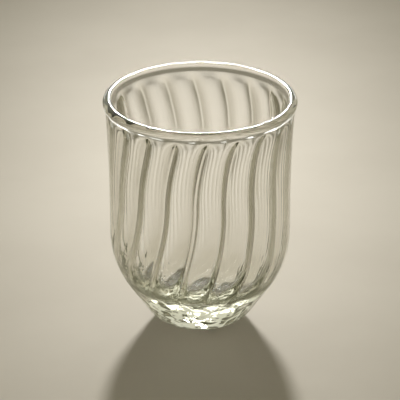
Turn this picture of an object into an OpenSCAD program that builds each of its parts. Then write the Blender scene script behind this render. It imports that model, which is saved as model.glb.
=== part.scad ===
// A hand-blown drinking glass: smooth outside, with ridges inside that sweep round it from lip to floor.
// Its outline climbs from a small flat foot up a round bowl and a nearly straight wall to a rolled lip.
// Lengths are in millimetres, +Z is up, and the origin is the middle of the face it rests on.

/* [Outline] */
// Height from the table to the top of the lip
glass_h = 100; // [92:1:110]
// Radius where the bowl has run into the wall
body_r = 37.6; // [35:0.1:41]
// How much the wall widens from there up to the lip
flare_w = 1.5; // [0:0.1:4]
// Radius of the flat face that the glass rests on
foot_r = 10.8; // [9:0.1:13]
// Height of the ground disc that has that face
foot_h = 0.3; // [0.2:0.1:0.8]
// Width of the ledge round that disc, where the grinding stopped
foot_ledge = 0.4; // [0.2:0.1:1]
// Radius of the curve that rises from the foot
foot_round_r = 14; // [11:0.5:16]
// Angle of the bowl's straight flank from the vertical
flank_angle = 34; // [31:0.5:38]
// Radius of the curve that turns the flank up into the wall
shoulder_r = 40; // [32:0.5:46]

/* [Inside] */
// Thickness of the wall where its ridges have run out, under the lip
wall_t = 2.8; // [2.5:0.1:3.6]
// Thickness of the glass under the middle of the inner floor
floor_t = 16; // [11:0.5:18]
// How far the inner floor runs out sideways before it climbs
floor_reach = 25; // [16:0.5:27]
// How far the bore drops straight down before it turns in to the floor
bore_reach = 17; // [10:0.5:20]
// Height of the base's upper edge above the middle of the inner floor
base_rise = 5; // [4:0.5:9]

/* [Lip] */
// Height of the lip, from the neck up
lip_h = 4.8; // [4:0.1:7]
// How far the lip swells out past the wall
lip_swell = 0.9; // [0.2:0.1:1.6]
// Depth of the lip's widest line below its top
lip_drop = 2.1; // [1.4:0.1:3]
// Width of the rounding on the lip's outer side, from its top line outwards
lip_outer_w = 2.5; // [1.8:0.1:2.9]
// Depth of the smaller rounding on the lip's inner side
lip_inner_h = 1.6; // [0.8:0.1:2.4]
// Width of the fine step under that rounding, where the ridges begin
lip_ledge = 0.15; // [0.1:0.05:0.4]

/* [Ridges] */
// Number of ridges, each with a round hollow beside it
ridge_count = 18; // [12:1:22]
// Height of a ridge over the middle of the hollows
ridge_h = 2.6; // [1:0.1:3]
// Share of that height that stands in from the plain bore, the rest being cut into the wall
stand_share = 0.6; // [0.4:0.05:1]
// Share of the step from ridge to ridge that the rounded crest of a ridge takes
crest_share = 0.1; // [0.06:0.01:0.3]
// Share by which the hollows steepen towards the ridges, where 0 leaves them plain parabolas
steep_share = 0.25; // [0:0.05:0.6]
// Height of the plain stretch that the fire smoothed, between the ends of the ridges and the lip
plain_h = 2; // [0:0.5:3]
// Height over which the ridges run out below that stretch
ridge_fade_h = 6; // [3:0.5:12]

/* [Sweep] */
// Height at which the ridges run straight up
upright_h = 64; // [56:1:72]
// Angle that the ridges bend to the right between there and the lip
lip_turn_angle = 11; // [0:0.5:16]
// Angle that the ridges bend to the left between there and the table
foot_turn_angle = 35; // [0:1:45]
// Angle that hand work spreads the ridges apart to either side of the front, at the table
spread_angle = 16; // [0:0.5:20]
// Height from which the ridges begin to spread
spread_h = 84; // [70:1:90]

/* [Hidden] */
$fn = 96;

glass_colour = [0.80, 0.81, 0.72];
// Angle of the first ridge, from the front of the glass towards +X
first_ridge_angle = -3;

// Points round each hollow, rings up each stretch of the bore, and points on each drawn curve
hollow_steps = 10;
floor_rings = 9;
wall_rings = 8;
fade_rings = 6;
curve_steps = 24;
// Share by which the points round a hollow crowd towards its ridges
crowd_share = 0.1;
// Overrun of every cut past the solid that it cuts
overrun = 1;

// Ends of the flank, where the foot's curve and the shoulder's curve touch it
ledge_r = foot_r + foot_ledge;
foot_end = [ledge_r + foot_round_r * cos(flank_angle), foot_h + foot_round_r * (1 - sin(flank_angle))];
flank_end_r = body_r - shoulder_r * (1 - cos(flank_angle));
flank_end = [flank_end_r, foot_end.y + (flank_end_r - foot_end.x) / tan(flank_angle)];
bowl_h = flank_end.y + shoulder_r * sin(flank_angle);

base_h = floor_t + base_rise;
neck_z = glass_h - lip_h;
neck_r = body_r + flare_w;
lip_r = neck_r + lip_swell;
crest_r = lip_r - lip_outer_w;
bore_r = body_r - wall_t;
mouth_r = neck_r - wall_t + lip_ledge;
ridge_top = glass_h - lip_inner_h;
ridge_end = ridge_top - plain_h;
ring_points = ridge_count * hollow_steps;

// A smooth step that goes from 0 to 1 as x does, and stays level outside
function eased(x) = let (c = min(max(x, 0), 1)) c * c * (3 - 2 * c);

// Widening above the bowl: it grows with the cube of the height up to the neck, and stays as it is there
function flare(z) = flare_w * pow(min((z - bowl_h) / (neck_z - bowl_h), 1), 3);

// Radius of the smooth outside at height z: the foot's curve, the flank, the shoulder and the wall
function outline(z) =
    z < foot_end.y ? ledge_r + sqrt(pow(foot_round_r, 2) - pow(foot_round_r + foot_h - z, 2))
    : z < flank_end.y ? foot_end.x + (z - foot_end.y) * tan(flank_angle)
    : z < bowl_h ? body_r - shoulder_r + sqrt(pow(shoulder_r, 2) - pow(bowl_h - z, 2))
    : body_r + flare(z);

// Heights at which the outline is drawn, close together where it curves
outline_heights = concat(
    [for (i = [0:curve_steps]) foot_h + foot_round_r * (1 - cos((90 - flank_angle) * i / curve_steps))],
    [for (i = [0:curve_steps]) bowl_h - shoulder_r * sin(flank_angle * (1 - i / curve_steps))],
    [for (i = [1:curve_steps]) bowl_h + (neck_z - bowl_h) * i / curve_steps]
);

// Points of the outline between two heights
function outline_points(low, high) = concat(
    [[outline(low), low]],
    [for (z = outline_heights) if (z > low && z < high) [outline(z), z]],
    [[outline(high), high]]
);

// Section of a hollow, 1 at its middle and 0 on the ridges to either side: nearly a parabola, with a
// parabola the other way up as the ridge's crest. x is the distance from the middle of the hollow, as a
// share of half the step from ridge to ridge.
function steepened(x) = (1 - steep_share) * x * x + steep_share * pow(x, 4);
function steepened_slope(x) = 2 * (1 - steep_share) * x + 4 * steep_share * pow(x, 3);
side_share = 1 - crest_share;
hollow_scale = 1 / (steepened(side_share) + steepened_slope(side_share) * crest_share / 2);
function hollow(x) =
    x < side_share
    ? 1 - hollow_scale * steepened(x)
    : hollow_scale * steepened_slope(side_share) * pow(1 - x, 2) / (2 * crest_share);

// Turn of the ridges at height z: to the right above the height where they are upright, to the left below
function turn(z) =
    z > upright_h
    ? lip_turn_angle * pow((z - upright_h) / (glass_h - upright_h), 2)
    : -foot_turn_angle * pow((upright_h - z) / upright_h, 2);

// Spread of a ridge that starts at angle a: away from the front, and so together at the back
function spread(a, z) = spread_angle * max(1 - z / spread_h, 0) * sin(a);

// Height of the ridges at a point of the bore: less on the narrower floor, none under the lip
function relief(p) = ridge_h * (p.x / bore_r) * eased((ridge_end - p.y) / ridge_fade_h);

// Point on the ridged bore: k counts round the glass, p is a point of the plain bore
function ridged(k, p) =
    let (s = (k % hollow_steps) / hollow_steps, crowded = s - crowd_share * sin(360 * s))
    let (a = first_ridge_angle + 360 * (floor(k / hollow_steps) + crowded) / ridge_count)
    let (r = p.x + relief(p) * (hollow(abs(2 * crowded - 1)) - stand_share))
    let (swept = a + turn(p.y) + spread(a, p.y))
    [r * sin(swept), -r * cos(swept), p.y];

// Point at share x of the cubic curve from a to d, with b and c as its handles
function curve_point(a, b, c, d, x) =
    a * pow(1 - x, 3) + b * 3 * pow(1 - x, 2) * x + c * 3 * (1 - x) * x * x + d * pow(x, 3);

// Points of the plain bore that carry its rings: floor, wall, and the stretch where the ridges run out
fade_z = ridge_end - ridge_fade_h;
bore_points = concat(
    [
        for (i = [0:floor_rings])
        curve_point([0, floor_t], [floor_reach, floor_t],
                    [bore_r, bowl_h - bore_reach], [bore_r, bowl_h], i / floor_rings)
    ],
    [for (i = [1:wall_rings]) let (z = bowl_h + (fade_z - bowl_h) * i / wall_rings) [bore_r + flare(z), z]],
    [for (i = [1:fade_rings]) let (z = fade_z + ridge_fade_h * i / fade_rings) [bore_r + flare(z), z]],
    [[bore_r + flare_w, ridge_top + overrun]]
);

// Solid that fills the bore from the last ring below one height to the first ring above another
module bore(low, high) {
    n = ring_points;
    last = len(bore_points) - 1;
    first_ring = max([1, for (i = [1:last]) if (bore_points[i].y < low) i]);
    last_ring = min([last, for (i = [1:last]) if (bore_points[i].y > high) i]);
    rings = [for (i = [first_ring:last_ring]) for (k = [0:n - 1]) ridged(k, bore_points[i])];
    start_z = first_ring > 1 ? bore_points[first_ring].y : floor_t;
    middles = [[0, 0, start_z], [0, 0, bore_points[last_ring].y]];
    top = last_ring - first_ring;
    middle = len(rings);
    sides = [
        for (j = [0:top - 1]) for (k = [0:n - 1])
        let (a = j * n + k, b = j * n + (k + 1) % n)
        each [[a, a + n, b], [b, a + n, b + n]]
    ];
    caps = [
        for (k = [0:n - 1])
        let (m = (k + 1) % n)
        each [[middle, k, m], [middle + 1, top * n + m, top * n + k]]
    ];
    polyhedron(concat(rings, middles), concat(sides, caps));
}

// Lip: rolled bead, melted round in the fire, over the ends of the ridges
module lip_bead() {
    swell = [
        for (i = [0:curve_steps])
        let (x = i / curve_steps)
        [neck_r + lip_swell * (1 - cos(180 * x)) / 2, neck_z + (lip_h - lip_drop) * x]
    ];
    outer_round = [
        for (i = [1:curve_steps])
        let (a = 90 * i / curve_steps)
        [crest_r + lip_outer_w * cos(a), glass_h - lip_drop * (1 - sin(a))]
    ];
    inner_round = [
        for (i = [1:curve_steps])
        let (a = 90 * i / curve_steps)
        [mouth_r + (crest_r - mouth_r) * (1 - sin(a)), glass_h - lip_inner_h * (1 - cos(a))]
    ];
    color(glass_colour)
        difference() {
            rotate_extrude()
                polygon(concat([[0, neck_z]], swell, outer_round, inner_round, [[0, ridge_top]]));
            bore(neck_z, ridge_top);
        }
}

// Wall: smooth outside and ridged inside, from the bowl's flank up to the lip
module ribbed_wall() {
    color(glass_colour)
        difference() {
            rotate_extrude()
                polygon(concat([[0, base_h]], outline_points(base_h, neck_z), [[0, neck_z]]));
            bore(base_h, neck_z);
        }
}

// Base: thick glass under the rounded inner floor, with a flat round face to rest on
module solid_base() {
    foot = [[0, 0], [foot_r, 0], [foot_r, foot_h]];
    color(glass_colour)
        difference() {
            rotate_extrude()
                polygon(concat(foot, outline_points(foot_h, base_h), [[0, base_h]]));
            bore(floor_t, base_h);
        }
}

lip_bead();
ribbed_wall();
solid_base();
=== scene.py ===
import math

import bpy
import numpy as np
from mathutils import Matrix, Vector


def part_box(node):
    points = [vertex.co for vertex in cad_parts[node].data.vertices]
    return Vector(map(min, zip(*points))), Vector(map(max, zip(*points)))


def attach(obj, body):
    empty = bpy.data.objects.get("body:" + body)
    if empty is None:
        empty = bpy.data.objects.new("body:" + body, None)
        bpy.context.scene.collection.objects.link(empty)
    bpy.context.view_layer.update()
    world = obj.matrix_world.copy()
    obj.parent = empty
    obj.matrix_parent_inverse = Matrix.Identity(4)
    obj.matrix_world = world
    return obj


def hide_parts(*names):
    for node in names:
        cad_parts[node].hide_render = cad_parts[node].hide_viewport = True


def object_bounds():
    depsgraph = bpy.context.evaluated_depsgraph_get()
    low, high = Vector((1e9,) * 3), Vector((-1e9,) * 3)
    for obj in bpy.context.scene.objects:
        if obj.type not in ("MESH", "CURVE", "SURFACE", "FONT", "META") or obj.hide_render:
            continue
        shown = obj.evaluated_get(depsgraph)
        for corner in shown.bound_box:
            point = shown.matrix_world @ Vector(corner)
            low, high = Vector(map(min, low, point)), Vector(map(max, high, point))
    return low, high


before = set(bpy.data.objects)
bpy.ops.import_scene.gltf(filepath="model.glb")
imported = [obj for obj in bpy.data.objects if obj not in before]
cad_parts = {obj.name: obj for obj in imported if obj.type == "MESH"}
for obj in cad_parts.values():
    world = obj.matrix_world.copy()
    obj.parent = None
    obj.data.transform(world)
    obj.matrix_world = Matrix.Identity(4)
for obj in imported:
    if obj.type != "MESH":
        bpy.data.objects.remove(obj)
cad_low, cad_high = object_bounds()
scene = bpy.context.scene

# The outside of the glass: smooth, as a turned wet wooden mould leaves it. A small ground disc to rest
# on, a foot curve, a straight flank, a shoulder and a nearly upright wall that widens towards the lip.
MM = 0.001
GLASS_H = cad_high.z - cad_low.z
LIP_R = (cad_high.x - cad_low.x) / 2
LIP_SWELL = 0.9 * MM
FLARE_W = 1.5 * MM
NECK_R = LIP_R - LIP_SWELL
NECK_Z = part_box("ribbed_wall")[1].z
BODY_R = NECK_R - FLARE_W
FOOT_R = 10.8 * MM
FOOT_H = 0.3 * MM
FOOT_LEDGE = 0.4 * MM
FOOT_ROUND_R = 14 * MM
SHOULDER_R = 40 * MM
FLANK_ANGLE = math.radians(34)
DISC_RINGS = (0.4, 0.8, 0.97, 1)
FOOT_STEPS = 16
FLANK_STEPS = 6
SHOULDER_STEPS = 15
WALL_STEPS = 15

ledge_r = FOOT_R + FOOT_LEDGE
foot_end = np.array([ledge_r + FOOT_ROUND_R * math.cos(FLANK_ANGLE),
                     FOOT_H + FOOT_ROUND_R * (1 - math.sin(FLANK_ANGLE))])
flank_end_r = BODY_R - SHOULDER_R * (1 - math.cos(FLANK_ANGLE))
flank_end = np.array([flank_end_r, foot_end[1] + (flank_end_r - foot_end[0]) / math.tan(FLANK_ANGLE)])
BOWL_H = flank_end[1] + SHOULDER_R * math.sin(FLANK_ANGLE)


def eased(x):
    """Smooth step: 3x^2 - 2x^3 between 0 and 1, level outside."""
    c = np.clip(x, 0, 1)
    return c * c * (3 - 2 * c)


def flare(z):
    """Widening above the bowl: FLARE_W times the cube of the share of the way up to the neck."""
    return FLARE_W * np.minimum((z - BOWL_H) / (NECK_Z - BOWL_H), 1) ** 3


def outside_profile():
    """Rows of radius and height: the ground disc, an arc that turns from level to the flank, the
    flank, an arc that turns upright, and the wall with its flare."""
    disc = np.array([[FOOT_R * s, 0] for s in DISC_RINGS] + [[FOOT_R, FOOT_H]])
    a = np.linspace(0, math.pi / 2 - FLANK_ANGLE, FOOT_STEPS)
    foot = np.stack([ledge_r + FOOT_ROUND_R * np.sin(a), FOOT_H + FOOT_ROUND_R * (1 - np.cos(a))], 1)
    flank = foot_end + (flank_end - foot_end) * np.linspace(0, 1, FLANK_STEPS)[1:, None]
    a = np.linspace(FLANK_ANGLE, 0, SHOULDER_STEPS)[1:]
    shoulder = np.stack([BODY_R - SHOULDER_R * (1 - np.cos(a)), BOWL_H - SHOULDER_R * np.sin(a)], 1)
    z = np.linspace(BOWL_H, NECK_Z, WALL_STEPS)[1:]
    return np.concatenate([disc, foot, flank, shoulder, np.stack([BODY_R + flare(z), z], 1)])


# The lip: a rolled bead, melted round in the fire after the blown cap was cracked off. It swells a
# little outwards, then turns over in a broad curve outside and a tighter one inside.
WALL_T = 2.8 * MM
LIP_DROP = 2.1 * MM
LIP_OUTER_W = 2.5 * MM
LIP_INNER_H = 1.6 * MM
MOUTH_R = NECK_R - WALL_T
CREST_R = LIP_R - LIP_OUTER_W
SWELL_STEPS = 9
ROLL_STEPS = 12


def lip_profile():
    """Rows of radius and height: a cosine swell out to the widest line, a quarter ellipse up to the
    crest, and a smaller quarter ellipse down to the bore."""
    x = np.linspace(0, 1, SWELL_STEPS)[1:]
    swell = np.stack([NECK_R + LIP_SWELL * (1 - np.cos(math.pi * x)) / 2,
                      NECK_Z + (GLASS_H - LIP_DROP - NECK_Z) * x], 1)
    a = np.linspace(0, math.pi / 2, ROLL_STEPS)[1:]
    outer = np.stack([CREST_R + LIP_OUTER_W * np.cos(a), GLASS_H - LIP_DROP * (1 - np.sin(a))], 1)
    inner = np.stack([MOUTH_R + (CREST_R - MOUTH_R) * (1 - np.sin(a)),
                      GLASS_H - LIP_INNER_H * (1 - np.cos(a))], 1)
    return np.concatenate([swell, outer, inner])


# The bore: its ridges come from a ribbed mould and are left standing inside when the outside is blown
# smooth. The blower's turning sweeps them round and spreads them to one side low down. They run out
# under the lip and grow lower towards the middle of the thick floor.
FLOOR_T = 16 * MM
FLOOR_REACH = 25 * MM
BORE_REACH = 17 * MM
BORE_R = BODY_R - WALL_T
RIDGE_COUNT = 18
RIDGE_H = 2.6 * MM
STAND_SHARE = 0.6
CREST_SHARE = 0.1
STEEP_SHARE = 0.25
RIDGE_FADE_H = 6 * MM
RIDGE_TOP = GLASS_H - LIP_INNER_H
PLAIN_H = 2 * MM
RIDGE_END = RIDGE_TOP - PLAIN_H
UPRIGHT_H = 64 * MM
LIP_TURN = math.radians(11)
FOOT_TURN = math.radians(35)
SPREAD = math.radians(16)
SPREAD_H = 84 * MM
FIRST_RIDGE = math.radians(-3)
HOLLOW_STEPS = 28
CROWD_SHARE = 0.125
FADE_STEPS = 15
BORE_STEPS = 21
FLOOR_STEPS = 34


def bore_profile():
    """Rows of radius and height from the lip down: the stretch where the ridges run out, the wall, and
    a cubic curve whose handles drop straight down from the wall and run out level from the middle."""
    z = np.concatenate([np.linspace(RIDGE_TOP, RIDGE_TOP - RIDGE_FADE_H, FADE_STEPS)[1:],
                        np.linspace(RIDGE_TOP - RIDGE_FADE_H, BOWL_H, BORE_STEPS)[1:]])
    wall = np.stack([BORE_R + flare(z), z], 1)
    x = np.linspace(0, 1, FLOOR_STEPS)[1:-1, None]
    a, b = np.array([BORE_R, BOWL_H]), np.array([BORE_R, BOWL_H - BORE_REACH])
    c, d = np.array([FLOOR_REACH, FLOOR_T]), np.array([0, FLOOR_T])
    floor = a * (1 - x) ** 3 + 3 * b * (1 - x) ** 2 * x + 3 * c * (1 - x) * x ** 2 + d * x ** 3
    return np.concatenate([wall, floor])


def hollow(x):
    """Section of a hollow, 1 in its middle (x = 0) and 0 on the ridge (x = 1): one less a mix of x^2
    and x^4, then a parabola the other way up as the rounded crest, meeting at the same slope."""
    side = 1 - CREST_SHARE
    slope = 2 * (1 - STEEP_SHARE) * side + 4 * STEEP_SHARE * side ** 3
    scale = 1 / ((1 - STEEP_SHARE) * side ** 2 + STEEP_SHARE * side ** 4 + slope * CREST_SHARE / 2)
    curve = 1 - scale * ((1 - STEEP_SHARE) * x ** 2 + STEEP_SHARE * x ** 4)
    return np.where(x < side, curve, scale * slope * (1 - x) ** 2 / (2 * CREST_SHARE))


def glass_grid():
    """Rings of points up the outside, over the lip and down the bore, crowded on the ridges. Outside a
    point keeps the plain radius. In the bore it adds (hollow - STAND_SHARE) times the ridges' height,
    which shrinks with the radius and fades out under the lip. Every ring is turned by a sweep,
    quadratic in height to either side of the upright stretch, plus a spread that grows evenly from
    nothing at SPREAD_H down to the resting face, times the sine of the point's angle."""
    bore = bore_profile()
    plain = np.concatenate([outside_profile(), lip_profile(), bore])
    r, z = plain[:, 0][:, None], plain[:, 1][:, None]
    in_bore = np.arange(len(plain))[:, None] >= len(plain) - len(bore)
    s = np.arange(HOLLOW_STEPS) / HOLLOW_STEPS
    s = s - CROWD_SHARE * np.sin(2 * math.pi * s)
    cut = np.tile(hollow(np.abs(2 * s - 1)), RIDGE_COUNT)[None, :]
    base = FIRST_RIDGE + 2 * math.pi / RIDGE_COUNT * (np.arange(RIDGE_COUNT)[:, None] + s[None, :])
    base = base.reshape(1, -1)
    relief = RIDGE_H * (r / BORE_R) * eased((RIDGE_END - z) / RIDGE_FADE_H) * in_bore
    radius = r + relief * (cut - STAND_SHARE)
    above = LIP_TURN * ((z - UPRIGHT_H) / (GLASS_H - UPRIGHT_H)) ** 2
    below = -FOOT_TURN * ((UPRIGHT_H - z) / UPRIGHT_H) ** 2
    spread = SPREAD * np.maximum(1 - z / SPREAD_H, 0) * np.sin(base)
    angle = base + np.where(z > UPRIGHT_H, above, below) + spread
    return np.stack([radius * np.sin(angle), -radius * np.cos(angle),
                     np.broadcast_to(z, angle.shape)], 2)


def closed_mesh(name, grid, low_z, high_z):
    """Mesh of a grid of rings, each joined to the next by quads, with a point on the axis at each end
    that closes the first and the last ring by triangles. Faces point outwards."""
    rings, n = grid.shape[:2]
    points = np.concatenate([grid.reshape(-1, 3), [[0, 0, low_z], [0, 0, high_z]]])
    k = np.arange(n)
    m = (k + 1) % n
    j = np.arange(rings - 1)[:, None] * n
    quads = np.stack([j + k, j + m, j + n + m, j + n + k], 2).reshape(-1, 4)
    low, high, last = rings * n, rings * n + 1, (rings - 1) * n
    low_fan = np.stack([np.full(n, low), m, k], 1)
    high_fan = np.stack([np.full(n, high), last + k, last + m], 1)
    mesh = bpy.data.meshes.new(name)
    mesh.from_pydata(points.tolist(), [], quads.tolist() + low_fan.tolist() + high_fan.tolist())
    mesh.polygons.foreach_set("use_smooth", np.ones(len(mesh.polygons), dtype=bool))
    mesh.update()
    piece = bpy.data.objects.new(name, mesh)
    scene.collection.objects.link(piece)
    return piece


glass = closed_mesh("blown_glass", glass_grid(), 0.0, FLOOR_T)
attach(glass, "root")
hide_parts("lip_bead", "ribbed_wall", "solid_base")

# The glass itself: soda glass with a faint olive cast that shows where it is thick. It is fire-polished
# and clear, with slow waves left by the blowing, a few dim smears, a ground foot, and a solid base
# whose surface is dented by the tool that pressed it flat. Waves and dents are given in millimetres.
CLEAR = (1, 1, 1, 1)
INDEX = 1.5
OLIVE = (0.74, 0.745, 0.56, 1)
OLIVE_DENSITY = 18
WAVE_SCALE = 90
WAVE_DETAIL = 1.5
WAVE_STRETCH = 0.25
WAVE_H = 0.05
LIP_WAVES = 0.2
DENT_SCALE = 160
DENT_DETAIL = 0.5
DENT_H = 1.8
SMEAR_SCALE = 55
SMEAR_DETAIL = 4
SMEAR_EDGE = (0.5, 0.75)
SMEAR_ROUGH = 0.03
GROUND_ROUGH = 0.3
DENTS_Z = (14 * MM, 24 * MM)
LIP_Z = (88 * MM, 94 * MM)
GROUND_Z = (0.1 * MM, 0.4 * MM)


class Maths:
    """A socket in a node tree. An expression on it adds the Math nodes that work it out."""

    def __init__(self, tree, socket):
        self.tree, self.socket = tree, socket

    def node(self, kind, settings=None, values=None, out=0):
        """Any other node: its type, its settings, set first, the values or links of its sockets, and
        the number of the output that is wanted."""
        made = self.tree.nodes.new(kind)
        for key, value in (settings or {}).items():
            setattr(made, key, value)
        for key, value in (values or {}).items():
            if isinstance(value, Maths):
                self.tree.links.new(value.socket, made.inputs[key])
            else:
                made.inputs[key].default_value = value
        return Maths(self.tree, made.outputs[out])

    def maths(self, operation, a, b):
        """A Math node on two values."""
        return self.node("ShaderNodeMath", {"operation": operation}, {0: a, 1: b})

    def __add__(self, other):
        return self.maths("ADD", self, other)

    __radd__ = __add__

    def __mul__(self, other):
        return self.maths("MULTIPLY", self, other)

    __rmul__ = __mul__

    def axis(self, number):
        """One part of this place: 0 is x, 1 is y and 2 is z."""
        return self.node("ShaderNodeSeparateXYZ", {}, {0: self}, number)

    def smooth(self, low, high, to_low=0.0, to_high=1.0):
        """Smooth step of this value, from to_low at low to to_high at high."""
        return self.node("ShaderNodeMapRange", {"interpolation_type": "SMOOTHSTEP"},
                         {"Value": self, "From Min": low, "From Max": high,
                          "To Min": to_low, "To Max": to_high})

    def noise(self, scale, detail):
        """Cloudy noise at this place, with scale features to the metre."""
        return self.node("ShaderNodeTexNoise", {}, {"Vector": self, "Scale": scale, "Detail": detail})

    def tinted(self, plain, other):
        """Colour that goes from plain to other as this share goes from 0 to 1."""
        return self.node("ShaderNodeMix", {"data_type": "RGBA"}, {0: self, 6: plain, 7: other}, 2)


def place_of(tree, kind):
    """The tree's coordinates of a kind."""
    return Maths(tree, tree.nodes.new("ShaderNodeTexCoord").outputs[kind])


def plain_stuff(name):
    """A new material, its tree and its Principled shader."""
    stuff = bpy.data.materials.new(name)
    stuff.use_nodes = True
    return stuff, stuff.node_tree, stuff.node_tree.nodes["Principled BSDF"]


glass_stuff, tree, shader = plain_stuff("olive_soda_glass")
shader.inputs["Base Color"].default_value = CLEAR
shader.inputs["Transmission Weight"].default_value = 1.0
shader.inputs["IOR"].default_value = INDEX
place = place_of(tree, "Object")
z = place.axis(2)
upright = place.node("ShaderNodeMapping", {}, {"Vector": place, "Scale": (1, 1, WAVE_STRETCH)})
waves = upright.noise(WAVE_SCALE, WAVE_DETAIL) * WAVE_H * z.smooth(*LIP_Z, 1.0, LIP_WAVES)
dents = place.noise(DENT_SCALE, DENT_DETAIL) * DENT_H * z.smooth(*DENTS_Z, 1.0, 0.0)
bump = place.node("ShaderNodeBump", {}, {"Height": waves + dents, "Strength": 1.0, "Distance": MM})
tree.links.new(bump.socket, shader.inputs["Normal"])
smears = place.noise(SMEAR_SCALE, SMEAR_DETAIL).smooth(*SMEAR_EDGE, 0.0, SMEAR_ROUGH)
ground = z.smooth(*GROUND_Z, GROUND_ROUGH, 0.0)
tree.links.new((smears + ground).socket, shader.inputs["Roughness"])
cast = place.node("ShaderNodeVolumeAbsorption", {}, {"Color": OLIVE, "Density": OLIVE_DENSITY})
tree.links.new(cast.socket, tree.nodes["Material Output"].inputs["Volume"])
glass.data.materials.append(glass_stuff)

# The floor that the glass stands on: plain, pale and matt, in one colour with a very faint unevenness.
# Its light and shade come from the lamps alone.
FLOOR_HALF = 3.0
FLOOR_GAP = 0.2 * MM
FLOOR_ROUGH = 0.8
PALE = (0.62, 0.56, 0.455, 1)
PALE_WORN = (0.59, 0.53, 0.427, 1)
WORN_SCALE = 14
WORN_DETAIL = 5
WORN_EDGE = (0.35, 0.65)

floor_mesh = bpy.data.meshes.new("floor")
floor_mesh.from_pydata([(-FLOOR_HALF, -FLOOR_HALF, 0), (FLOOR_HALF, -FLOOR_HALF, 0),
                        (FLOOR_HALF, FLOOR_HALF, 0), (-FLOOR_HALF, FLOOR_HALF, 0)], [], [(0, 1, 2, 3)])
floor = bpy.data.objects.new("floor", floor_mesh)
scene.collection.objects.link(floor)
floor.location.z = -FLOOR_GAP
floor_stuff, tree, shader = plain_stuff("pale_floor")
place = place_of(tree, "Object")
colour = place.noise(WORN_SCALE, WORN_DETAIL).smooth(*WORN_EDGE).tinted(PALE, PALE_WORN)
tree.links.new(colour.socket, shader.inputs["Base Color"])
shader.inputs["Roughness"].default_value = FLOOR_ROUGH
floor_mesh.materials.append(floor_stuff)

# The light: a spot lamp behind the glass with a wide soft edge, which lights the floor round the glass
# and throws its shadow forward, and a broad panel lower down, which shows in the lip and in the base.
LAMP_D = 1.6
SPOT_UP = math.radians(27)
SPOT_AIM_Y = 0.12
SPOT_POOL_R = 0.17
SPOT_SOFT_R = 0.1
SPOT_POWER = 185
PANEL_UP = math.radians(8)
PANEL_W = 1.5
PANEL_H = 0.25
PANEL_POWER = 2


def lamp_behind(name, kind, up, aim_y, power):
    """Lamp up radians above the level, behind the glass, that points at the floor aim_y behind it."""
    data = bpy.data.lights.new(name, kind)
    data.energy = power
    lamp = bpy.data.objects.new(name, data)
    scene.collection.objects.link(lamp)
    away = Vector((0, math.cos(up), math.sin(up)))
    lamp.location = Vector((0, aim_y, 0)) + away * LAMP_D
    lamp.rotation_euler = (-away).to_track_quat("-Z", "Y").to_euler()
    return data


spot = lamp_behind("soft_spot", "SPOT", SPOT_UP, SPOT_AIM_Y, SPOT_POWER)
spot.shadow_soft_size = SPOT_SOFT_R
spot.spot_size = 2 * math.atan(SPOT_POOL_R / LAMP_D)
spot.spot_blend = 1.0
panel = lamp_behind("low_panel", "AREA", PANEL_UP, 0, PANEL_POWER)
panel.shape = "RECTANGLE"
panel.size = PANEL_W
panel.size_y = PANEL_H

# The room round the glass: dim and olive in front and paler behind, with one smooth passage between
# them, so that clear glass has something to show.
ROOM = (1.0, 0.97, 0.74, 1)
ROOM_BEHIND = (1.0, 0.98, 0.88, 1)
ROOM_NEAR = 0.2
ROOM_FAR = 0.88
ROOM_EDGE = (0.45, 0.9)
world = bpy.data.worlds.new("room")
scene.world = world
world.use_nodes = True
tree = world.node_tree
place = place_of(tree, "Generated")
behind = place.axis(1).smooth(*ROOM_EDGE)
level = behind * (ROOM_FAR - ROOM_NEAR) + ROOM_NEAR
room = place.node("ShaderNodeVectorMath", {"operation": "SCALE"},
                  {0: behind.tinted(ROOM, ROOM_BEHIND), "Scale": level})
tree.links.new(room.socket, tree.nodes["Background"].inputs["Color"])
tree.nodes["Background"].inputs["Strength"].default_value = 1.0

# The camera: 1.3 m off and 24.65 degrees above the level, with a long lens. It looks at a point a
# little above the middle of the glass.
CAMERA_D = 1.3
CAMERA_UP = math.radians(24.65)
SENSOR_W = 36
LENS_PIXELS = 3126
FRAME_PIXELS = 400
AIM_ABOVE_MIDDLE = 3.4 * MM
camera_data = bpy.data.cameras.new("camera")
camera_data.sensor_width = SENSOR_W
camera_data.lens = SENSOR_W * LENS_PIXELS / FRAME_PIXELS
camera = bpy.data.objects.new("camera", camera_data)
scene.collection.objects.link(camera)
away = Vector((0, -math.cos(CAMERA_UP), math.sin(CAMERA_UP)))
camera.location = Vector((0, 0, GLASS_H / 2 + AIM_ABOVE_MIDDLE)) + away * CAMERA_D
camera.rotation_mode = "QUATERNION"
camera.rotation_quaternion = (-away).to_track_quat("-Z", "Y")
scene.camera = camera

scene.view_settings.view_transform = "Standard"
scene.cycles.max_bounces = 32
scene.cycles.transmission_bounces = 32
scene.cycles.glossy_bounces = 16
scene.cycles.diffuse_bounces = 4
scene.cycles.use_denoising = True
